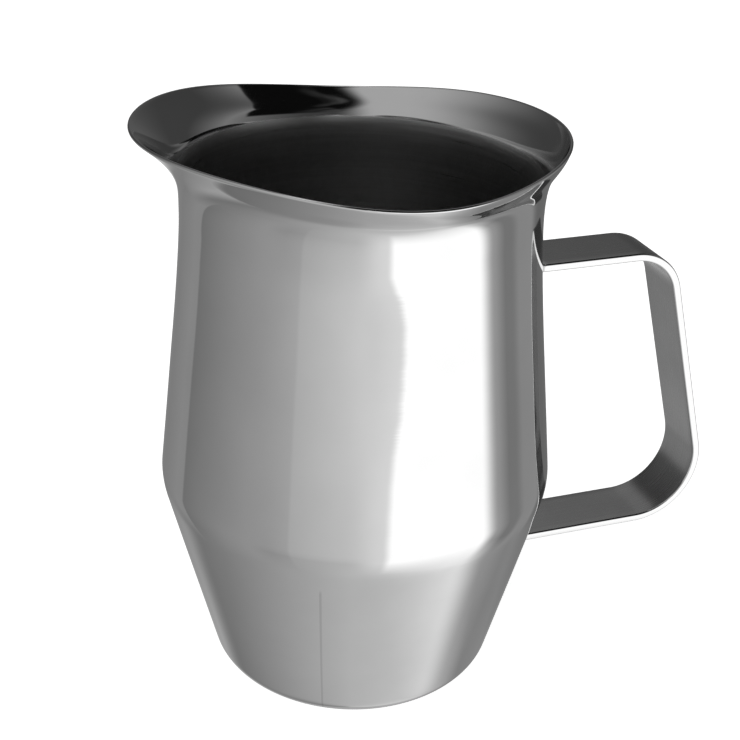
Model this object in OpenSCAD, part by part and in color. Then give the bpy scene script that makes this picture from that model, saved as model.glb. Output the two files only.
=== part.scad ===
// Steel milk frothing pitcher: a drawn vessel with a flared rim and a raised pouring lip,
// and a flat bar handle welded on opposite the lip.
// Millimetres. Z is the vessel's axis, z = 0 is the plane it stands on, the handle is
// along +X and the pouring lip along -X.

/* [Vessel] */
// Thickness of the steel sheet
sheet = 0.8; // [0.6:0.1:1.2]
// Radius at which the lower cone's line meets the table
base_r = 36.8; // [34:0.1:40]
// Radius of the rounded corner between the base and the lower cone
base_fillet = 7.8; // [4:0.1:10]
// Radius at which the lower cone's line meets the upper wall's line
belly_r = 51; // [48:0.1:54]
// Height of the belly, where those two lines meet
belly_z = 56; // [50:0.5:62]
// Radius of the rounded belly
belly_fillet = 19; // [8:0.5:24]
// Inward lean of the upper wall, in degrees
wall_lean = 6.2; // [5:0.1:7]
// Radius of the narrowest ring, the neck
neck_r = 44.1; // [43:0.1:45]
// Height of the neck
neck_z = 128; // [126:0.5:132]

/* [Base recess] */
// How far the middle of the base is pressed up
recess_h = 0.8; // [0.4:0.1:2]
// Radius of the ring on which the vessel stands, at its inner edge
recess_r = 27; // [20:0.5:29]
// Radius of the recess's two rounded corners
recess_round = 4; // [2:0.5:6]

/* [Rim outline] */
// Mean radius of the rim around the vessel's axis
rim_r = 51; // [49:0.1:53]
// How far the rim is drawn out at the lip and in at the handle
rim_r_lip = 2.9; // [2:0.1:4]
// How far it is drawn out at the lip and the handle and in at the sides
rim_r_oval = 1.5; // [0:0.1:2]
// Threefold part of the rim's outline
rim_r_three = -0.6; // [-0.8:0.1:0]
// Fourfold part of the rim's outline
rim_r_four = 0.3; // [0:0.05:0.5]
// Fivefold part of the rim's outline
rim_r_five = 0.25; // [0:0.05:0.4]

/* [Rim height] */
// Mean height of the rim
rim_z = 146.1; // [144:0.1:148]
// How far the rim rises at the lip and sinks at the handle
rim_z_lip = 1.85; // [1:0.05:3]
// How far it rises at the lip and the handle and sinks at the sides
rim_z_saddle = 1.85; // [0:0.05:3]
// Threefold part of the rim's height
rim_z_three = -0.3; // [-0.5:0.05:0]
// Fourfold part of the rim's height
rim_z_four = -0.4; // [-0.5:0.05:0]

/* [Flare] */
// Outward lean of the flare's edge at the handle, in degrees
flare_lean_back = 14; // [8:0.5:24]
// Outward lean of the flare's edge at the lip, in degrees
flare_lean_lip = 52; // [44:0.5:58]
// Share of the flare's height over which it leaves the neck upright, at the handle
flare_rise_back = 0.8; // [0.6:0.01:0.85]
// The same share at the lip
flare_rise_lip = 0.3; // [0.2:0.01:0.5]
// What is added to that share at the sides
flare_rise_side = 0.32; // [0:0.01:0.34]
// Share of the flare's slant over which its edge runs straight, at the handle
flare_run_back = 0.37; // [0.2:0.01:0.5]
// The same share at the lip
flare_run_lip = 0.63; // [0.4:0.01:0.7]

/* [Handle] */
// Width of the flat bar
bar_w = 16; // [12:0.5:20]
// Thickness of the flat bar
bar_t = 2.2; // [1.8:0.1:3]
// Height of the top face of the upper run
grip_top_z = 110; // [104:0.5:114]
// Height of the top face of the lower run
grip_low_z = 28.2; // [24:0.2:34]
// Distance from the axis to the inner corner of the upper bend
grip_top_x = 82.9; // [76:0.1:90]
// Distance from the axis to the inner corner of the lower bend
grip_low_x = 105.2; // [98:0.1:112]
// Inner radius of the upper bend
bend_top = 12.5; // [8:0.5:18]
// Inner radius of the lower bend
bend_low = 16.2; // [8:0.5:18]

/* [Welds] */
// Leg of the fillet weld around each end of the bar
weld_leg = 1.8; // [1.2:0.1:2.4]

/* [Hidden] */

steel = "#c9cbcd";
satin = "#9a9c9e";
bead = "#b4b6b8";

recess_steps = 4;   // pieces in each rounded corner of the recess
recess_run = 4;     // length of the recess's slope, in recess heights
arc_steps = 10;     // pieces in each rounded corner of the wall
sweep_steps = 8;    // pieces in the long sweep into the neck
flare_steps = 14;   // rings from the neck to the rim
flare_sides = 120;  // sides around the flare
round_fn = 180;     // fineness of the turned surfaces
flare_seat = 0.03;  // how far inside the sheet's faces the flare's foot is kept
flare_root = 1.5;   // how far down into the wall the flare's foot reaches
bite = 6;           // how far a blank reaches into the vessel before it is cut back
weld_bevel = 1;     // how far in from the wall's front a weld's side bevels start

// ---- plane geometry ----
function unit(v) = v / norm(v);

// The round corner of radius r at b, on the way from a to c
function fillet(a, b, c, r, n) =
    let (u = unit(a - b),
         v = unit(c - b),
         half = acos(u * v) / 2,
         centre = b + unit(u + v) * r / sin(half),
         p = b + u * r / tan(half) - centre,
         q = b + v * r / tan(half) - centre,
         start = atan2(p.y, p.x),
         turn = atan2(p.x * q.y - p.y * q.x, p * q))
    [for (i = [0:n]) centre + r * [cos(start + turn * i / n), sin(start + turn * i / n)]];

// A point of the curve that leaves a towards b and reaches c from it
function bend(a, b, c, t) = (1 - t) * (1 - t) * a + 2 * t * (1 - t) * b + t * t * c;

// A point of the curve from a to d, steered by b and c
function swing(a, b, c, d, t) =
    pow(1 - t, 3) * a + 3 * t * pow(1 - t, 2) * b + 3 * t * t * (1 - t) * c + t * t * t * d;

// The path moved by d towards its left-hand side
function inset(path, d) =
    [for (i = [0:len(path) - 1])
        let (before = path[max(i - 1, 0)],
             after = path[min(i + 1, len(path) - 1)],
             run = unit(after - before))
        path[i] + d * [-run.y, run.x]];

function reversed(path) = [for (i = [len(path) - 1:-1:0]) path[i]];

// ---- the wall, from the middle of the base up to the neck, as [radius, height] ----
belly = [belly_r, belly_z];
foot = [base_r, 0];
recess_inner = [recess_r - recess_run * recess_h, recess_h];
recess_outer = [recess_r, 0];
shoulder = [neck_r, belly_z + (belly_r - neck_r) / tan(wall_lean)];
neck = [neck_r, neck_z];
sweep_share = 0.6;  // share of the upper wall that stays straight
sweep_start = belly + sweep_share * (shoulder - belly);

wall = concat(
    fillet([0, recess_h], recess_inner, recess_outer, recess_round, recess_steps),
    fillet(recess_inner, recess_outer, foot, recess_round, recess_steps),
    fillet(recess_outer, foot, belly, base_fillet, arc_steps),
    fillet(foot, belly, shoulder, belly_fillet, arc_steps),
    [for (i = [0:sweep_steps]) bend(sweep_start, shoulder, neck, i / sweep_steps)]);

inside = concat(
    inset([for (i = [0:len(wall) - 2]) wall[i]], sheet),
    [[neck_r - sheet, neck_z]]);

// ---- the flare, from the neck to the rim; a is the angle from the lip ----
rim_radius_waves = [rim_r, rim_r_lip, rim_r_oval, rim_r_three, rim_r_four, rim_r_five];
rim_height_waves = [rim_z, rim_z_lip, rim_z_saddle, rim_z_three, rim_z_four];

// A sum of cos(0), cos(a), cos(2a) ... with these amplitudes
function wave(amplitudes, a) =
    [for (k = [0:len(amplitudes) - 1]) amplitudes[k] * cos(k * a)] * [for (k = amplitudes) 1];

// A value that goes from back, at the handle, to lip, with side added between them
function around_rim(back, lip, side, a) =
    back + (lip - back) * (1 + cos(a)) / 2 + side * pow(sin(a), 2) * (1 + cos(a));

function flare_line(a) =
    let (rim = [wave(rim_radius_waves, a), wave(rim_height_waves, a)],
         lean = around_rim(flare_lean_back, flare_lean_lip, 0, a),
         rise = around_rim(flare_rise_back, flare_rise_lip, flare_rise_side, a),
         run = around_rim(flare_run_back, flare_run_lip, 0, a),
         above = neck + [0, rise * (rim.y - neck_z)],
         below = rim - run * norm(rim - neck) * [sin(lean), cos(lean)])
    [for (i = [0:flare_steps]) swing(neck, above, below, rim, i / flare_steps)];

// The section of the flare's sheet: up its outer face and down its inner one
function flare_section(a) =
    let (outer = flare_line(a),
         inner = inset(outer, sheet),
         last = len(outer) - 1)
    concat(
        [neck - [flare_seat, flare_root], neck - [flare_seat, 0]],
        [for (i = [1:last]) outer[i]],
        [for (i = [last:-1:1]) inner[i]],
        [neck - [sheet - 2 * flare_seat, 0], neck - [sheet - 2 * flare_seat, flare_root]]);

module flare() {
    sections = [for (j = [0:flare_sides - 1]) flare_section(360 * j / flare_sides - 180)];
    size = len(sections[0]);
    points = [for (j = [0:flare_sides - 1], p = sections[j])
        let (a = 360 * j / flare_sides)
        [p.x * cos(a), p.x * sin(a), p.y]];
    faces = [for (j = [0:flare_sides - 1], k = [0:size - 1], half = [0, 1])
        let (here = j * size,
             next = ((j + 1) % flare_sides) * size,
             up = (k + 1) % size)
        half == 0 ? [here + k, here + up, next + up] : [here + k, next + up, next + k]];
    polyhedron(points, faces);
}

// The space that the vessel takes up below its neck, filled solid
module vessel_space() {
    rotate_extrude($fn = round_fn)
        polygon(concat([[0, recess_h]], wall, [[0, neck_z]]));
}

// ---- the bar, seen from the side ----
// A four-cornered outline, open towards the vessel, with its two outer corners rounded
module bent_outline(top_corner, low_corner, top_radius, low_radius) {
    top_end = [0, top_corner.y];
    low_end = [0, low_corner.y];
    polygon(concat(
        [low_end],
        fillet(low_end, low_corner, top_corner, low_radius, 1),
        fillet(low_corner, top_corner, top_end, top_radius, 1),
        [top_end]));
    for (corner = [[low_end, low_corner, top_corner, low_radius],
                   [low_corner, top_corner, top_end, top_radius]])
        translate(round_centre(corner[0], corner[1], corner[2], corner[3]))
            circle(r = corner[3], $fn = round_fn);
}

function round_centre(a, b, c, r) =
    let (u = unit(a - b), v = unit(c - b))
    b + unit(u + v) * r / sin(acos(u * v) / 2);

grip_top = [grip_top_x, grip_top_z - bar_t];
grip_low = [grip_low_x, grip_low_z];
grip_run = unit(grip_top - grip_low);
// how far the outer face's corners lie beyond the inner ones, along each run
top_reach = bar_t * (1 - grip_run.x) / grip_run.y;
low_reach = bar_t * (1 + grip_run.x) / grip_run.y;

module bar_blank() {
    rotate([90, 0, 0])
        linear_extrude(bar_w, center = true)
            difference() {
                bent_outline(grip_top + [top_reach, bar_t], grip_low + [low_reach, -bar_t],
                             bend_top + bar_t, bend_low + bar_t);
                bent_outline(grip_top, grip_low, bend_top, bend_low);
            }
}

// ---- a weld ----
// The radius of the wall at height z, between the foot and the shoulder
function wall_r(z) =
    z < belly_z ? base_r + (belly_r - base_r) * z / belly_z
                : belly_r - (z - belly_z) * tan(wall_lean);

// A fillet weld all around a bar end whose top face is at height z
module weld_around(z) {
    r = wall_r(z - bar_t / 2);
    arc = asin((bar_w / 2 + weld_leg) / r);
    difference() {
        union() {
            for (side = [1, -1])
                translate([0, 0, side > 0 ? z : z - bar_t])
                    rotate([0, 0, -arc])
                        rotate_extrude(angle = 2 * arc, $fn = round_fn)
                            polygon([[r - bite, 0], [r + weld_leg, 0],
                                     [r, side * weld_leg], [r - bite, side * weld_leg]]);
            translate([0, 0, z - bar_t])
                linear_extrude(bar_t)
                    polygon([[r - bite, -bar_w / 2 - weld_leg],
                             [r - weld_bevel, -bar_w / 2 - weld_leg],
                             [r + weld_leg, -bar_w / 2],
                             [r + weld_leg, bar_w / 2],
                             [r - weld_bevel, bar_w / 2 + weld_leg],
                             [r - bite, bar_w / 2 + weld_leg]]);
        }
        vessel_space();
        bar_blank();
    }
}

// ---- the pieces ----
module body_shell() {
    color(steel)
        union() {
            rotate_extrude($fn = round_fn)
                polygon(concat([[0, recess_h]], wall,
                               reversed(inside), [[0, recess_h + sheet]]));
            flare();
        }
}

module handle() {
    color(satin)
        difference() {
            bar_blank();
            vessel_space();
        }
}

module upper_weld() {
    color(bead)
        weld_around(grip_top_z);
}

module lower_weld() {
    color(bead)
        weld_around(grip_low_z);
}

body_shell();
handle();
upper_weld();
lower_weld();
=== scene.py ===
"""Looks of the milk frothing pitcher: polished vessel, satin bar handle and its two welds."""

import math

import bpy
import numpy as np
from mathutils import Matrix, Vector


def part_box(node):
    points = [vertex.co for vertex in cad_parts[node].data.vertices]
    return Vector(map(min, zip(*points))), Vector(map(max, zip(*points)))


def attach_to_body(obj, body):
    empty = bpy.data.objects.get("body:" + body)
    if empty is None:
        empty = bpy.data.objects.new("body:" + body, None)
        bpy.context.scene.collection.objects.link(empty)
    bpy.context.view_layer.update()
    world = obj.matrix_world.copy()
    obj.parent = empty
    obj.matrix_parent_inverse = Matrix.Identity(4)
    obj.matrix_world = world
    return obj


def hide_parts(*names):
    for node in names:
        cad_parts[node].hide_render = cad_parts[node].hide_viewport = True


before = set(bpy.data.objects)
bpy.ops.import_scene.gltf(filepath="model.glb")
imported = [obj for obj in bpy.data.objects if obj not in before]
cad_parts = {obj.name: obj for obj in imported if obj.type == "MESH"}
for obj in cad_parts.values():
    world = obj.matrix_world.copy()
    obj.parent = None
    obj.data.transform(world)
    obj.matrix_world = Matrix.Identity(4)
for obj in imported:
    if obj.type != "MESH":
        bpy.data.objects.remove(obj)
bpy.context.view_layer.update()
shell_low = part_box("body_shell")[0]
bar_low, bar_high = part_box("handle")

MM = 0.001

# ---- the vessel's driving dimensions, the same as the CAD part's ----
SHEET = 0.8 * MM
BASE_R = 36.8 * MM
BASE_FILLET = 7.8 * MM
BELLY_R = 51.0 * MM
BELLY_Z = 56.0 * MM
BELLY_FILLET = 19.0 * MM
WALL_LEAN = math.radians(6.2)
NECK_R = 44.1 * MM
NECK_Z = 128.0 * MM
SWEEP_SHARE = 0.6
RECESS_H = 0.8 * MM
RECESS_R = 27.0 * MM
RECESS_SLOPE = 4 * RECESS_H
RECESS_ROUND = 4 * MM
# amplitudes of cos(0), cos(a), cos(2a) ... with a measured from the lip
RIM_RADIUS_WAVES = [51 * MM, 2.9 * MM, 1.5 * MM, -0.6 * MM, 0.3 * MM, 0.25 * MM]
RIM_HEIGHT_WAVES = [146.1 * MM, 1.85 * MM, 1.85 * MM, -0.3 * MM, -0.4 * MM]
# the flare's edge at the handle and at the lip, and what is added between them, at the sides
FLARE_LEAN = (math.radians(14), math.radians(52), 0)
FLARE_RISE = (0.80, 0.30, 0.32)
FLARE_RUN = (0.37, 0.63, 0)
# where the inside's polish ends, and how fast that line sinks from the lip to the handle
THROAT_Z = 137.2 * MM
THROAT_SLOPE = 0.02
# the painted reflection on the lower cone, a fine dark upright line painted into its colour: its
# foot's angle from the handle, its lean, both in degrees, and its top
REFLECTED_LINE_ANGLE = -120.1
REFLECTED_LINE_LEAN = 0.038 / MM
REFLECTED_LINE_TOP = 47 * MM

# ---- the bar handle, measured on its CAD node where a corner gives the size ----
BAR_T = 2.2 * MM
BAR_W = bar_high.y - bar_low.y
GRIP_TOP = Vector((82.9 * MM, bar_high.z - BAR_T))
GRIP_LOW = Vector((105.2 * MM, bar_low.z + BAR_T))
BEND_TOP = 12.5 * MM
BEND_LOW = 16.2 * MM
BAR_EDGE = 0.45 * MM
WELD_LEG = 1.7 * MM

# ---- fineness ----
SIDES = 320
FLARE_ROWS = 30
WALL_ROWS = 110
EDGE_ROWS = 7
# steps of the curves that the wall's rows are picked from
RECESS_STEPS = 30
WALL_STEPS = 80
SWEEP_STEPS = 60
# the wall's rows share out its length and its turning in this proportion
ROW_LENGTH = 2 * MM
ROW_TURN = math.radians(4)
# the bar
CORNER_STEPS = 5
FACE_POINTS = 7
BEND_STEPS = 24
BAR_STEP = 3 * MM
# the weld beads
BEAD_STEP = 0.2 * MM
BEAD_STEPS = 7
BEAD_RIPPLE = 0.9 * MM
BEAD_LIFT = 0.12 * MM
# how deep one piece's hidden faces sit in the next
TUCK = 0.1 * MM


# ---- plane geometry: points are (radius, height) ----
def fillet(a, b, c, radius, steps):
    """The round corner at b, on the way from a to c."""
    u = (a - b).normalized()
    v = (c - b).normalized()
    half = u.angle(v) / 2
    centre = b + (u + v).normalized() * radius / math.sin(half)
    p = b + u * radius / math.tan(half) - centre
    q = b + v * radius / math.tan(half) - centre
    start = math.atan2(p.y, p.x)
    turn = math.atan2(p.x * q.y - p.y * q.x, p.dot(q))
    angles = [start + turn * i / steps for i in range(steps + 1)]
    return [centre + radius * Vector((math.cos(t), math.sin(t))) for t in angles]


def bend(a, b, c, t):
    """A point of the curve that leaves a towards b and reaches c from it."""
    return (1 - t) ** 2 * a + 2 * t * (1 - t) * b + t * t * c


def wall_line():
    """The vessel's outer line from the base's middle to the neck, with more points in its bends."""
    recess_inner = Vector((RECESS_R - RECESS_SLOPE, RECESS_H))
    recess_outer = Vector((RECESS_R, 0))
    foot = Vector((BASE_R, 0))
    belly = Vector((BELLY_R, BELLY_Z))
    shoulder = Vector((NECK_R, BELLY_Z + (BELLY_R - NECK_R) / math.tan(WALL_LEAN)))
    neck = Vector((NECK_R, NECK_Z))
    sweep_start = belly + SWEEP_SHARE * (shoulder - belly)
    centre = Vector((0, RECESS_H))
    fine = [centre]
    fine += fillet(centre, recess_inner, recess_outer, RECESS_ROUND, RECESS_STEPS)
    fine += fillet(recess_inner, recess_outer, foot, RECESS_ROUND, RECESS_STEPS)
    fine += fillet(recess_outer, foot, belly, BASE_FILLET, WALL_STEPS)
    fine += fillet(foot, belly, shoulder, BELLY_FILLET, WALL_STEPS)
    fine += [bend(sweep_start, shoulder, neck, i / SWEEP_STEPS) for i in range(SWEEP_STEPS + 1)]
    points = np.array([[p.x, p.y] for p in fine])
    step = np.diff(points, axis=0)
    length = np.hypot(step[:, 0], step[:, 1])
    heading = np.unwrap(np.arctan2(step[:, 1], step[:, 0]))
    turning = np.abs(np.diff(heading, prepend=heading[0]))
    pace = np.concatenate([[0], np.cumsum(length / ROW_LENGTH + turning / ROW_TURN)])
    even = np.linspace(0, pace[-1], WALL_ROWS)
    return np.stack([np.interp(even, pace, points[:, k]) for k in (0, 1)], axis=1)


WALL = wall_line()


def wave(amplitudes, a):
    return sum(size * np.cos(k * a) for k, size in enumerate(amplitudes))


def around_rim(values, a):
    """A value that goes from the handle's to the lip's, with something added at the sides."""
    back, lip, side = values
    return back + (lip - back) * (1 + np.cos(a)) / 2 + side * np.sin(a) ** 2 * (1 + np.cos(a))


def sheet_dents(around, height):
    """Slight unevenness of drawn and polished sheet, in metres along the normal."""
    soft = 22 * np.sin(3 * around + 0.8 + 30 * height) * np.sin(95 * height + 1.1)
    middling = 9 * np.sin(7 * around - 60 * height + 2.0) * np.cos(170 * height + 0.4)
    spun = 2.5 * np.sin(900 * height + 0.7 * np.sin(2 * around))
    return (soft + middling + spun) * 1e-6


def shell_grid():
    """Radius and height of the outer face, row by row from the base's middle to the rim."""
    around = np.linspace(0, 2 * math.pi, SIDES, endpoint=False)
    from_lip = around - math.pi
    rim_r = wave(RIM_RADIUS_WAVES, from_lip)
    rim_z = wave(RIM_HEIGHT_WAVES, from_lip)
    lean = around_rim(FLARE_LEAN, from_lip)
    rise = around_rim(FLARE_RISE, from_lip)
    run = around_rim(FLARE_RUN, from_lip)
    slant = np.hypot(rim_r - NECK_R, rim_z - NECK_Z)
    t = np.linspace(0, 1, FLARE_ROWS + 1)[1:, None]
    steer_r = [NECK_R, NECK_R, rim_r - run * slant * np.sin(lean), rim_r]
    steer_z = [NECK_Z, NECK_Z + rise * (rim_z - NECK_Z),
               rim_z - run * slant * np.cos(lean), rim_z]
    shares = [(1 - t) ** 3, 3 * t * (1 - t) ** 2, 3 * t * t * (1 - t), t ** 3]
    flare_r = sum(s * p for s, p in zip(shares, steer_r))
    flare_z = sum(s * p for s, p in zip(shares, steer_z))
    full = np.ones((1, SIDES))
    radius = np.vstack([WALL[:, :1] * full, flare_r])
    height = np.vstack([WALL[:, 1:] * full, flare_z])
    return around, radius, height


def headings(radius, height):
    """Unit steps along each line of the grid, from the base to the rim."""
    dr = np.gradient(radius, axis=0)
    dz = np.gradient(height, axis=0)
    length = np.hypot(dr, dz)
    return dr / length, dz / length


def mesh_object(name, points, faces, materials, face_materials=None):
    mesh = bpy.data.meshes.new(name)
    mesh.from_pydata([tuple(p) for p in points], [], faces)
    for material in materials:
        mesh.materials.append(material)
    mesh.polygons.foreach_set("use_smooth", [True] * len(mesh.polygons))
    if face_materials is not None:
        mesh.polygons.foreach_set("material_index", face_materials)
    mesh.update()
    made = bpy.data.objects.new(name, mesh)
    bpy.context.scene.collection.objects.link(made)
    return made


def make_shell(outside, inside):
    around, radius, height = shell_grid()
    along_r, along_z = headings(radius, height)
    dent = sheet_dents(around[None, :], height)
    dent *= np.clip(radius / (20 * MM), 0, 1)
    # keep the dents inside the CAD part's box
    dent -= dent.max()
    outer_r = radius + along_z * dent
    outer_z = np.maximum(height - along_r * dent, shell_low.z)
    inner_r = radius + along_z * (dent - SHEET)
    inner_z = height - along_r * (dent - SHEET)
    # the rim's edge is a half round, which ends where the flare's line ends
    half = SHEET / 2
    middle_r = (outer_r[-1] + inner_r[-1]) / 2 - half * along_r[-1]
    middle_z = (outer_z[-1] + inner_z[-1]) / 2 - half * along_z[-1]
    edge_r = []
    edge_z = []
    for k in range(EDGE_ROWS + 1):
        turn = math.pi * k / EDGE_ROWS
        side = half * math.cos(turn)
        ahead = half * math.sin(turn)
        edge_r.append(middle_r + side * along_z[-1] + ahead * along_r[-1])
        edge_z.append(middle_z - side * along_r[-1] + ahead * along_z[-1])
    rows_r = np.vstack([outer_r[1:-1], edge_r, inner_r[-2:0:-1]])
    rows_z = np.vstack([outer_z[1:-1], edge_z, inner_z[-2:0:-1]])
    rows_r = np.maximum(rows_r, 0.2 * MM)
    rows = len(rows_r)
    xyz = np.stack([rows_r * np.cos(around), rows_r * np.sin(around), rows_z], axis=-1)
    points = np.vstack([xyz.reshape(-1, 3), [[0, 0, RECESS_H], [0, 0, RECESS_H + SHEET]]])
    below, above = rows * SIDES, rows * SIDES + 1
    faces = []
    slots = []
    for i in range(rows - 1):
        deep = i > rows / 2
        for j in range(SIDES):
            k = (j + 1) % SIDES
            faces.append((i * SIDES + j, i * SIDES + k, (i + 1) * SIDES + k, (i + 1) * SIDES + j))
            slots.append(1 if deep else 0)
    last = (rows - 1) * SIDES
    for j in range(SIDES):
        k = (j + 1) % SIDES
        faces.append((below, k, j))
        slots.append(0)
        faces.append((above, last + j, last + k))
        slots.append(1)
    return mesh_object("vessel", points, faces, [outside, inside], slots)


def wall_x(y, z):
    """How far along X the outer wall lies at that width and height."""
    standing = WALL[WALL[:, 1].argmin():]
    return math.sqrt(np.interp(z, standing[:, 1], standing[:, 0]) ** 2 - y * y)


def rounded_section(width, thick, radius):
    """A bar's section as (across, out) points: a rectangle with round corners, anticlockwise."""
    points = []
    for sx, sy, start in ((1, 1, 0), (-1, 1, 90), (-1, -1, 180), (1, -1, 270)):
        for k in range(CORNER_STEPS + 1):
            turn = math.radians(start + 90 * k / CORNER_STEPS)
            points.append((sx * (width / 2 - radius) + radius * math.cos(turn),
                           sy * (thick / 2 - radius) + radius * math.sin(turn)))
        if sy * sx > 0:
            # extra points across the broad faces, so that they shade flat
            for k in range(1, FACE_POINTS + 1):
                across = sx * (width / 2 - radius) * (1 - 2 * k / (FACE_POINTS + 1))
                points.append((across, sy * thick / 2))
    return points


def bar_path():
    """The bar's middle line as points, from the upper end to the lower."""
    run = (GRIP_TOP - GRIP_LOW).normalized()
    half = BAR_T / 2
    top = GRIP_TOP + Vector((half * (1 - run.x) / run.y, half))
    low = GRIP_LOW + Vector((half * (1 + run.x) / run.y, -half))
    # two points further along the runs, inside the vessel
    start = Vector((BASE_R, top.y))
    end = Vector((BASE_R, low.y))
    upper = fillet(start, top, low, BEND_TOP + half, BEND_STEPS)
    lower = fillet(top, low, end, BEND_LOW + half, BEND_STEPS)
    first = Vector((wall_x(0, top.y), top.y))
    last = Vector((wall_x(0, low.y), low.y))
    stops = [first] + upper + lower + [last]
    path = []
    for a, b in zip(stops, stops[1:]):
        pieces = max(1, round((b - a).length / BAR_STEP))
        path += [a + (b - a) * k / pieces for k in range(pieces)]
    return path + [stops[-1]]


def make_handle(material):
    path = bar_path()
    section = rounded_section(BAR_W, BAR_T, BAR_EDGE)
    reach = max(here.x for here in path) + BAR_T / 2
    count = len(section)
    points = []
    for i, here in enumerate(path):
        ahead = (path[min(i + 1, len(path) - 1)] - path[max(i - 1, 0)]).normalized()
        out = Vector((-ahead.y, ahead.x))
        for across, rise in section:
            at = here + out * rise
            # the CAD bend is cut in straight pieces, and the bar stays inside them
            x = at.x * bar_high.x / reach
            if i in (0, len(path) - 1):
                # the ends are cut to the wall's curve and sit in it by a hair
                x = wall_x(across, at.y) - 0.05 * MM
            points.append((x, across, at.y))
    faces = []
    for i in range(len(path) - 1):
        for j in range(count):
            k = (j + 1) % count
            faces.append((i * count + j, i * count + k, (i + 1) * count + k, (i + 1) * count + j))
    end = (len(path) - 1) * count
    faces.append(tuple(range(count - 1, -1, -1)))
    faces.append(tuple(range(end, end + count)))
    return mesh_object("handle_bar", points, faces, [material])


def make_weld(name, top_z, material):
    """A rippled bead all round a bar end: each section runs from the wall to the bar."""
    middle = top_z - BAR_T / 2
    outline = rounded_section(BAR_W, BAR_T, BAR_EDGE)
    ring = []
    for a, b in zip(outline, outline[1:] + outline[:1]):
        a, b = Vector(a), Vector(b)
        pieces = max(1, round((b - a).length / BEAD_STEP))
        ring += [a + (b - a) * k / pieces for k in range(pieces)]
    lengths = [(ring[(i + 1) % len(ring)] - p).length for i, p in enumerate(ring)]
    total = sum(lengths)
    ripples = round(total / BEAD_RIPPLE)
    points = []
    along = 0
    for i, p in enumerate(ring):
        before, after = ring[i - 1], ring[(i + 1) % len(ring)]
        run = (after - before).normalized()
        out = Vector((run.y, -run.x))
        phase = 2 * math.pi * along / total
        along += lengths[i]
        leg = WELD_LEG * (1 + 0.06 * math.sin(5 * phase + 1) + 0.04 * math.sin(11 * phase))
        foot = p + out * leg
        foot_at = Vector((wall_x(foot.x, middle + foot.y) - 0.03 * MM, foot.x, middle + foot.y))
        corner = Vector((wall_x(p.x, middle + p.y), p.x, middle + p.y))
        bar_at = corner + Vector((leg, 0, 0)) - Vector((0, out.x, out.y)) * 0.03 * MM
        steer = (foot_at + bar_at) / 2 * 0.55 + corner * 0.45
        for k in range(BEAD_STEPS + 1):
            t = k / BEAD_STEPS
            ripple = 0.5 + 0.5 * math.cos(ripples * phase - 1.5 * math.sin(math.pi * t))
            lift = BEAD_LIFT * ripple * math.sin(math.pi * t)
            away = ((foot_at + bar_at) / 2 - corner).normalized()
            points.append(bend(foot_at, steer, bar_at, t) + away * lift)
        points.append(corner - Vector((TUCK, 0, 0)) - Vector((0, out.x, out.y)) * TUCK)
    per = BEAD_STEPS + 2
    faces = []
    for i in range(len(ring)):
        n = (i + 1) % len(ring)
        for k in range(per):
            m = (k + 1) % per
            faces.append((i * per + k, i * per + m, n * per + m, n * per + k))
    return mesh_object(name, points, faces, [material])


# ---- materials ----
class Nodes:
    """Short ways to add and link shader nodes."""

    def __init__(self, tree):
        self.tree = tree
        tree.nodes.clear()

    def add(self, kind, **settings):
        node = self.tree.nodes.new(kind)
        for key, value in settings.items():
            setattr(node, key, value)
        return node

    def feed(self, socket, value):
        if isinstance(value, bpy.types.NodeSocket):
            self.tree.links.new(value, socket)
        else:
            socket.default_value = value

    def math(self, operation, a, b=0.0, c=0.0, clamp=False):
        node = self.add("ShaderNodeMath", operation=operation, use_clamp=clamp)
        for socket, value in zip(node.inputs, (a, b, c)):
            self.feed(socket, value)
        return node.outputs[0]

    def spread(self, value, low, high, to_low, to_high, smooth=False):
        node = self.add("ShaderNodeMapRange", clamp=True)
        node.interpolation_type = "SMOOTHSTEP" if smooth else "LINEAR"
        for socket, given in zip(node.inputs, (value, low, high, to_low, to_high)):
            self.feed(socket, given)
        return node.outputs[0]

    def blend(self, share, a, b):
        """Value a where share is 0 and b where it is 1."""
        node = self.add("ShaderNodeMix", data_type="FLOAT")
        self.feed(node.inputs["Factor"], share)
        self.feed(node.inputs["A"], a)
        self.feed(node.inputs["B"], b)
        return node.outputs["Result"]

    def noise(self, vector, scale, detail=2.0, roughness=0.5):
        node = self.add("ShaderNodeTexNoise")
        self.feed(node.inputs["Vector"], vector)
        node.inputs["Scale"].default_value = scale
        node.inputs["Detail"].default_value = detail
        node.inputs["Roughness"].default_value = roughness
        return node.outputs["Fac"]

    def stretched(self, vector, scale):
        node = self.add("ShaderNodeMapping")
        self.feed(node.inputs["Vector"], vector)
        node.inputs["Scale"].default_value = scale
        return node.outputs["Vector"]

    def place(self):
        """Object coordinates, in metres."""
        return self.add("ShaderNodeTexCoord").outputs["Object"]

    def turned_place(self):
        """Angle round the vessel's axis in half turns, radius, and height, as one vector."""
        apart = self.add("ShaderNodeSeparateXYZ")
        self.feed(apart.inputs[0], self.place())
        x, y, z = apart.outputs
        squares = self.math("ADD", self.math("MULTIPLY", x, x), self.math("MULTIPLY", y, y))
        radius = self.math("SQRT", squares)
        joined = self.add("ShaderNodeCombineXYZ")
        self.feed(joined.inputs[0], self.math("DIVIDE", self.math("ARCTAN2", y, x), math.pi))
        self.feed(joined.inputs[1], radius)
        self.feed(joined.inputs[2], z)
        return joined.outputs[0]

    def bump(self, height, depth, strength=1.0):
        node = self.add("ShaderNodeBump")
        node.inputs["Strength"].default_value = strength
        node.inputs["Distance"].default_value = depth
        self.feed(node.inputs["Height"], height)
        return node.outputs["Normal"]


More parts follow.
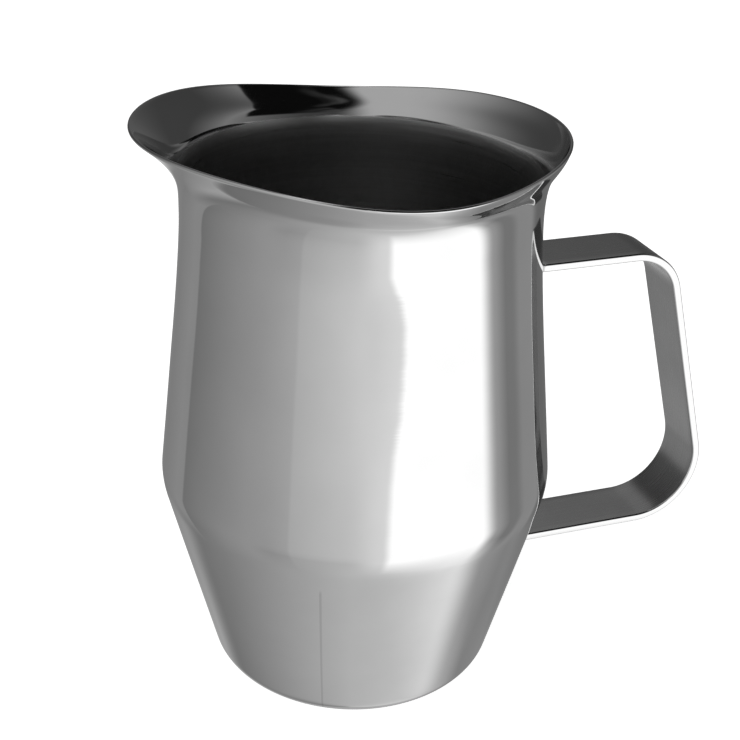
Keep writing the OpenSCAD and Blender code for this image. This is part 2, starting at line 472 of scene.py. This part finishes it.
def steel(name):
    """A bare metal material and its shader, with the nodes to build on."""
    material = bpy.data.materials.new(name)
    material.use_nodes = True
    nodes = Nodes(material.node_tree)
    shader = nodes.add("ShaderNodeBsdfPrincipled")
    shader.inputs["Metallic"].default_value = 1.0
    output = nodes.add("ShaderNodeOutputMaterial")
    nodes.feed(output.inputs["Surface"], shader.outputs[0])
    return material, nodes, shader


def tint(nodes, level, warm=1.0):
    """A near-neutral metal colour whose brightness is the value level."""
    joined = nodes.add("ShaderNodeCombineColor")
    nodes.feed(joined.inputs[0], level)
    nodes.feed(joined.inputs[1], level)
    nodes.feed(joined.inputs[2], nodes.math("MULTIPLY", level, warm))
    return joined.outputs[0]


def polished_steel():
    material, nodes, shader = steel("polished_steel")
    place = nodes.place()
    turned = nodes.turned_place()
    cloud = nodes.noise(place, 45, 3)
    lines = nodes.noise(nodes.stretched(turned, (6, 10, 2500)), 1, 2)
    # painted reflection: one fine dark upright line painted into the lower cone's colour
    apart = nodes.add("ShaderNodeSeparateXYZ")
    nodes.feed(apart.inputs[0], turned)
    reflected_line_path = nodes.math("MULTIPLY_ADD", apart.outputs[2], REFLECTED_LINE_LEAN / 180, REFLECTED_LINE_ANGLE / 180)
    from_reflected_line = nodes.math("ABSOLUTE", nodes.math("SUBTRACT", apart.outputs[0], reflected_line_path))
    reflected_line_share = nodes.math("MULTIPLY", nodes.spread(from_reflected_line, 0.0012, 0.0028, 1, 0, True),
                      nodes.spread(apart.outputs[2], REFLECTED_LINE_TOP, REFLECTED_LINE_TOP + 2 * MM, 1, 0, True))
    # the metal's random tone, darkened along the painted reflected line
    bright = nodes.math("MULTIPLY", nodes.spread(cloud, 0.3, 0.7, 0.69, 0.73),
                        nodes.spread(reflected_line_share, 0, 1, 1, 0.84))
    nodes.feed(shader.inputs["Base Color"], tint(nodes, bright))
    haze = nodes.spread(nodes.noise(place, 18, 4, 0.6), 0.45, 0.75, 0.028, 0.06)
    nodes.feed(shader.inputs["Roughness"], haze)
    nodes.feed(shader.inputs["Normal"], nodes.bump(lines, 0.000002))
    return material


def spun_steel():
    """The inside: polished on the flare, satin with turning marks below the throat."""
    material, nodes, shader = steel("spun_steel")
    turned = nodes.turned_place()
    apart = nodes.add("ShaderNodeSeparateXYZ")
    nodes.feed(apart.inputs[0], nodes.place())
    level = nodes.math("MULTIPLY_ADD", apart.outputs[0], THROAT_SLOPE, apart.outputs[2])
    deep = nodes.spread(level, THROAT_Z - 0.3 * MM, THROAT_Z + 0.3 * MM, 1, 0, True)
    lines = nodes.noise(nodes.stretched(turned, (3, 300, 1500)), 1, 3, 0.7)
    cloud = nodes.noise(nodes.place(), 45, 3)
    bright = nodes.spread(cloud, 0.3, 0.7, 0.68, 0.72)
    dull = nodes.spread(lines, 0.3, 0.7, 0.63, 0.70)
    nodes.feed(shader.inputs["Base Color"], tint(nodes, nodes.blend(deep, bright, dull)))
    satin = nodes.spread(lines, 0.3, 0.7, 0.27, 0.36)
    nodes.feed(shader.inputs["Roughness"], nodes.blend(deep, 0.07, satin))
    nodes.feed(shader.inputs["Normal"], nodes.bump(nodes.math("MULTIPLY", lines, deep), 0.00001))
    return material


def satin_steel():
    material, nodes, shader = steel("satin_steel")
    place = nodes.place()
    apart = nodes.add("ShaderNodeSeparateXYZ")
    nodes.feed(apart.inputs[0], place)
    aside = nodes.math("ABSOLUTE", apart.outputs[1])
    edge = nodes.spread(aside, BAR_W / 2 - BAR_EDGE, BAR_W / 2 - 0.5 * BAR_EDGE, 0, 1, True)
    streaks = nodes.noise(nodes.stretched(place, (25, 2500, 25)), 1, 3, 0.6)
    cloud = nodes.noise(place, 60, 3)
    brushed = nodes.spread(cloud, 0.3, 0.7, 0.53, 0.60)
    nodes.feed(shader.inputs["Base Color"], tint(nodes, nodes.blend(edge, brushed, 0.70)))
    satin = nodes.spread(streaks, 0.3, 0.7, 0.24, 0.29)
    nodes.feed(shader.inputs["Roughness"], nodes.blend(edge, satin, 0.06))
    nodes.feed(shader.inputs["Normal"], nodes.bump(streaks, 0.000003))
    return material


def weld_steel():
    material, nodes, shader = steel("weld_steel")
    place = nodes.place()
    grain = nodes.noise(place, 2500, 3)
    bright = nodes.spread(grain, 0.3, 0.7, 0.58, 0.66)
    nodes.feed(shader.inputs["Base Color"], tint(nodes, bright, 0.97))
    nodes.feed(shader.inputs["Roughness"], nodes.spread(grain, 0.3, 0.7, 0.25, 0.4))
    nodes.feed(shader.inputs["Normal"], nodes.bump(grain, 0.00001))
    return material


# ---- the camera ----
# The camera stands in front and to the left of the handle's plane, looking down into the mouth.
HANDLE_TURN = 0.340
CAMERA_AWAY = 320.8 * MM
CAMERA_HIGH = 245.5 * MM
CAMERA_DOWN = 0.469
CAMERA_ASIDE = 0.010
CAMERA_ROLL = 0.030
LENS_MM = 68.1


def make_camera():
    data = bpy.data.cameras.new("camera")
    data.lens = LENS_MM
    data.clip_start = 0.01
    camera = bpy.data.objects.new("camera", data)
    bpy.context.scene.collection.objects.link(camera)
    turn = Matrix.Rotation(-HANDLE_TURN, 3, "Z")
    ahead = turn @ Vector((math.sin(CAMERA_ASIDE) * math.cos(CAMERA_DOWN),
                           math.cos(CAMERA_ASIDE) * math.cos(CAMERA_DOWN),
                           -math.sin(CAMERA_DOWN)))
    level = turn @ Vector((math.cos(CAMERA_ASIDE), -math.sin(CAMERA_ASIDE), 0))
    upward = level.cross(ahead)
    right = math.cos(CAMERA_ROLL) * level + math.sin(CAMERA_ROLL) * upward
    up = right.cross(ahead)
    axes = Matrix((right, up, -ahead)).transposed()
    stand = turn @ Vector((0, -CAMERA_AWAY, CAMERA_HIGH))
    camera.matrix_world = Matrix.Translation(stand) @ axes.to_4x4()
    bpy.context.scene.camera = camera


# ---- the studio ----
# The world's light is made of soft walls and cards, set by direction from the pitcher, in degrees:
# the compass angle is 0 towards the front and grows to the right, the rise is 0 at eye level.
# Levels are shares of white as seen on screen.
DISPLAY_POWER = 2.2
STEEL_REFLECTS = 0.70
# gradients: (compass angle, level) where each begins, bends and ends
TABLE_WALL = [(-115, 0.42), (-60, 0.555), (-37, 0.625), (-35, 0.66), (20, 0.82)]
FLOOR_WALL = [(-126, 0.43), (-38, 0.59), (67, 0.88)]
GROUND_WALL = [(-125, 0.47), (0, 0.675), (110, 0.765)]
# cards: compass angle from and to, how softly each side ends, and level;
# a graded card has two angles and the levels there in place of the one level
LEFT_CARD = (-163, -117, 3, 2, -150, -125, 0.445, 0.50)
BACK_LEFT_CARD = (-200, -168, 1, 5, -180, -168, 0.785, 0.63)
BRIGHT_SCREEN = (25, 95, 6, 1, 1.0)
RIGHT_CARD = (91, 200, 14, 1, 91, 100, 0.555, 0.44)
PALE_STRIP = (116, 131, 10, 11, 0.50)
RIGHT_BACK_CARD = (145, 200, 15, 1, 0.365)
FLOOR_LEFT = (-200, -150, 1, 24, 0.57)
FLOOR_RIGHT = (110, 200, 28, 1, 110, 127, 0.535, 0.475)
GROUND_LEFT = (-200, -165, 1, 30, 0.60)
GROUND_RIGHT = (145, 200, 33, 1, 0.62)
# above eye level: a dim room, a pale wall on the left and a smaller one on the right
ROOM_LEVEL = 0.235
PALE_WALL = 0.385
FAR_WALL = 0.20
BACK_GLOW = 0.075
CORNER_LEVEL = 0.07
SHELF_LEVEL = 0.24
BEHIND_LEVEL = 0.44
CEILING_LEVEL = 0.95


def bent_line(nodes, value, stops):
    """Follows a few (value, level) stops, and stays level before the first and after the last."""
    level = stops[0][1]
    for (low, at_low), (high, at_high) in zip(stops, stops[1:]):
        level = nodes.math("ADD", nodes.spread(value, low, high, 0, at_high - at_low), level)
    return level


def inside_window(nodes, value, low, high, soft_low, soft_high):
    """1 between low and high, falling to 0 over the soft widths outside them."""
    rise = nodes.spread(value, low - soft_low, low, 0, 1, True)
    fall = nodes.spread(value, high, high + soft_high, 1, 0, True)
    return nodes.math("MULTIPLY", rise, fall)


def hang(nodes, level, degrees, card):
    """The level with a card hung in front of it, which is even, or graded between two angles."""
    low, high, soft_low, soft_high, *look = card
    shown = look[0] if len(look) == 1 else nodes.spread(degrees, *look)
    window = inside_window(nodes, degrees, low, high, soft_low, soft_high)
    return nodes.blend(window, level, shown)


def make_world():
    world = bpy.data.worlds.new("studio")
    bpy.context.scene.world = world
    world.use_nodes = True
    nodes = Nodes(world.node_tree)
    turn = nodes.add("ShaderNodeVectorRotate", rotation_type="Z_AXIS")
    nodes.feed(turn.inputs["Vector"], nodes.add("ShaderNodeTexCoord").outputs["Generated"])
    turn.inputs["Angle"].default_value = HANDLE_TURN
    apart = nodes.add("ShaderNodeSeparateXYZ")
    nodes.feed(apart.inputs[0], turn.outputs[0])
    x, y, z = apart.outputs
    compass = nodes.math("ARCTAN2", x, nodes.math("MULTIPLY", y, -1.0))
    degrees = nodes.math("MULTIPLY", compass, 180 / math.pi)
    rise = nodes.math("MULTIPLY", nodes.math("ARCSINE", z), 180 / math.pi)
    aside = nodes.math("ABSOLUTE", degrees)

    # above eye level
    pale = nodes.math("MULTIPLY", nodes.spread(degrees, -145, -25, 0, PALE_WALL, True),
                      nodes.spread(degrees, -8, 20, 1, 0, True))
    far = nodes.math("MULTIPLY", nodes.spread(degrees, 40, 100, 0, FAR_WALL),
                     nodes.spread(degrees, 102, 135, 1, 0))
    glow = nodes.spread(aside, 152, 172, 0, BACK_GLOW)
    upper = nodes.math("ADD", nodes.math("ADD", pale, far), glow)
    upper = nodes.math("ADD", upper, ROOM_LEVEL)

    # level with the table; the bright screen's near edge isn't straight
    sway = nodes.math("ADD", nodes.spread(rise, -18.2, -15.7, 0, -6),
                      nodes.spread(rise, -21.5, -18.2, 3, 0))
    sway = nodes.math("MULTIPLY", sway, inside_window(nodes, degrees, 12, 32, 12, 20))
    swayed = nodes.math("ADD", degrees, sway)
    table = bent_line(nodes, swayed, TABLE_WALL)
    for card in (LEFT_CARD, BACK_LEFT_CARD, BRIGHT_SCREEN, RIGHT_CARD, PALE_STRIP, RIGHT_BACK_CARD):
        table = hang(nodes, table, swayed, card)
    table = nodes.blend(nodes.spread(degrees, 168, 180, 0, 1), table, 0.55)

    # below the table's edge, and further below
    floor = bent_line(nodes, degrees, FLOOR_WALL)
    floor = hang(nodes, hang(nodes, floor, degrees, FLOOR_LEFT), degrees, FLOOR_RIGHT)
    floor = nodes.blend(nodes.spread(aside, 155, 178, 0, 1), floor, 0.66)
    ground = bent_line(nodes, degrees, GROUND_WALL)
    ground = hang(nodes, hang(nodes, ground, degrees, GROUND_LEFT), degrees, GROUND_RIGHT)

    # the table's edge lies lower in front than at the sides and behind
    table_edge = nodes.spread(aside, 85, 135, -46, -38, True)
    over = nodes.math("SUBTRACT", rise, table_edge)
    under = nodes.blend(nodes.spread(rise, -65, -51, 0, 1), ground, floor)
    near_table = nodes.math("MULTIPLY", inside_window(nodes, degrees, -45, -5, 20, 20),
                            nodes.spread(rise, -32, -16, 0.1, 0))
    table = nodes.math("MULTIPLY", table, nodes.math("SUBTRACT", 1.0, near_table))
    softness = nodes.spread(aside, 80, 105, 15, 6)
    level = nodes.blend(nodes.spread(over, -6, softness, 0, 1), under, table)
    level = nodes.blend(nodes.spread(rise, -10, 2, 0, 1, True), level, upper)
    # an unlit corner of the room, which reaches further round higher up
    corner_low = nodes.spread(rise, 30, 60, 20, 0)
    corner_high = nodes.math("ADD", nodes.spread(rise, 26, 47, 88, 101),
                             nodes.spread(rise, 47, 52, 0, 20))
    from_low = nodes.math("SUBTRACT", degrees, corner_low)
    from_high = nodes.math("SUBTRACT", corner_high, degrees)
    corner = nodes.math("MULTIPLY", nodes.spread(from_low, -18, 6, 0, 1, True),
                        nodes.spread(from_high, -2, 2, 0, 1, True))
    corner = nodes.math("MULTIPLY", corner, nodes.spread(rise, 20, 28, 0, 1, True))
    shelves = nodes.noise(nodes.stretched(turn.outputs[0], (3, 3, 4)), 1, 2)
    dimly_lit = nodes.spread(degrees, 15, 55, SHELF_LEVEL, CORNER_LEVEL)
    lit_share = nodes.spread(shelves, 0.45, 0.65, 0, 1, True)
    inside_corner = nodes.blend(lit_share, CORNER_LEVEL, dimly_lit)
    level = nodes.blend(corner, level, inside_corner)
    # a lighter stretch of the wall behind
    behind = nodes.math("MULTIPLY", nodes.spread(aside, 150, 166, 0, 1, True),
                        inside_window(nodes, rise, 34, 52, 10, 10))
    level = nodes.blend(behind, level, BEHIND_LEVEL)
    # a small lamp, and the pale ceiling straight above
    lamp = nodes.math("MULTIPLY", inside_window(nodes, degrees, 16, 22, 2, 2),
                      inside_window(nodes, rise, 3, 7, 2, 2))
    level = nodes.blend(lamp, level, 1.0)
    level = nodes.blend(nodes.spread(rise, 76, 84, 0, 1, True), level, CEILING_LEVEL)
    light = nodes.math("DIVIDE", nodes.math("POWER", level, DISPLAY_POWER), STEEL_REFLECTS)
    seen = nodes.add("ShaderNodeLightPath").outputs["Is Camera Ray"]
    strength = nodes.blend(seen, light, 1.0)
    background = nodes.add("ShaderNodeBackground")
    nodes.feed(background.inputs["Strength"], strength)
    background.inputs["Color"].default_value = (1, 1, 1, 1)
    nodes.feed(nodes.add("ShaderNodeOutputWorld").inputs["Surface"], background.outputs[0])


def make_floor():
    size = 3.0
    corners = [(-size, -size, 0), (size, -size, 0), (size, size, 0), (-size, size, 0)]
    material = bpy.data.materials.new("pale_floor")
    material.use_nodes = True
    nodes = Nodes(material.node_tree)
    glow = nodes.add("ShaderNodeEmission")
    glow.inputs["Color"].default_value = (1, 1, 1, 1)
    glow.inputs["Strength"].default_value = 0.86
    matt = nodes.add("ShaderNodeBsdfDiffuse")
    matt.inputs["Color"].default_value = (0.9, 0.9, 0.9, 1)
    both = nodes.add("ShaderNodeAddShader")
    nodes.feed(both.inputs[0], glow.outputs[0])
    nodes.feed(both.inputs[1], matt.outputs[0])
    clear = nodes.add("ShaderNodeBsdfTransparent")
    from_below = nodes.add("ShaderNodeNewGeometry").outputs["Backfacing"]
    choice = nodes.add("ShaderNodeMixShader")
    nodes.feed(choice.inputs[0], from_below)
    nodes.feed(choice.inputs[1], both.outputs[0])
    nodes.feed(choice.inputs[2], clear.outputs[0])
    nodes.feed(nodes.add("ShaderNodeOutputMaterial").inputs["Surface"], choice.outputs[0])
    floor = mesh_object("floor", corners, [(0, 1, 2, 3)], [material])
    floor.visible_glossy = False


def make_light():
    data = bpy.data.lights.new("soft_overhead", "AREA")
    data.shape = "DISK"
    data.size = 1.2
    data.energy = 6
    light = bpy.data.objects.new("soft_overhead", data)
    bpy.context.scene.collection.objects.link(light)
    light.location = (-0.3, -0.4, 1.2)
    light.rotation_euler = (Vector((0, 0, 0)) - light.location).to_track_quat("-Z", "Y").to_euler()
    light.visible_glossy = False
    light.visible_camera = False


# ---- the pieces on the frame ----
def attach(piece, node):
    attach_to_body(piece, "root")
    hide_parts(node)


make_camera()
make_world()
make_floor()
make_light()
bead = weld_steel()
attach(make_shell(polished_steel(), spun_steel()), "body_shell")
attach(make_handle(satin_steel()), "handle")
attach(make_weld("upper_weld_bead", bar_high.z, bead), "upper_weld")
attach(make_weld("lower_weld_bead", bar_low.z + BAR_T, bead), "lower_weld")
bpy.context.scene.view_settings.view_transform = "Standard"
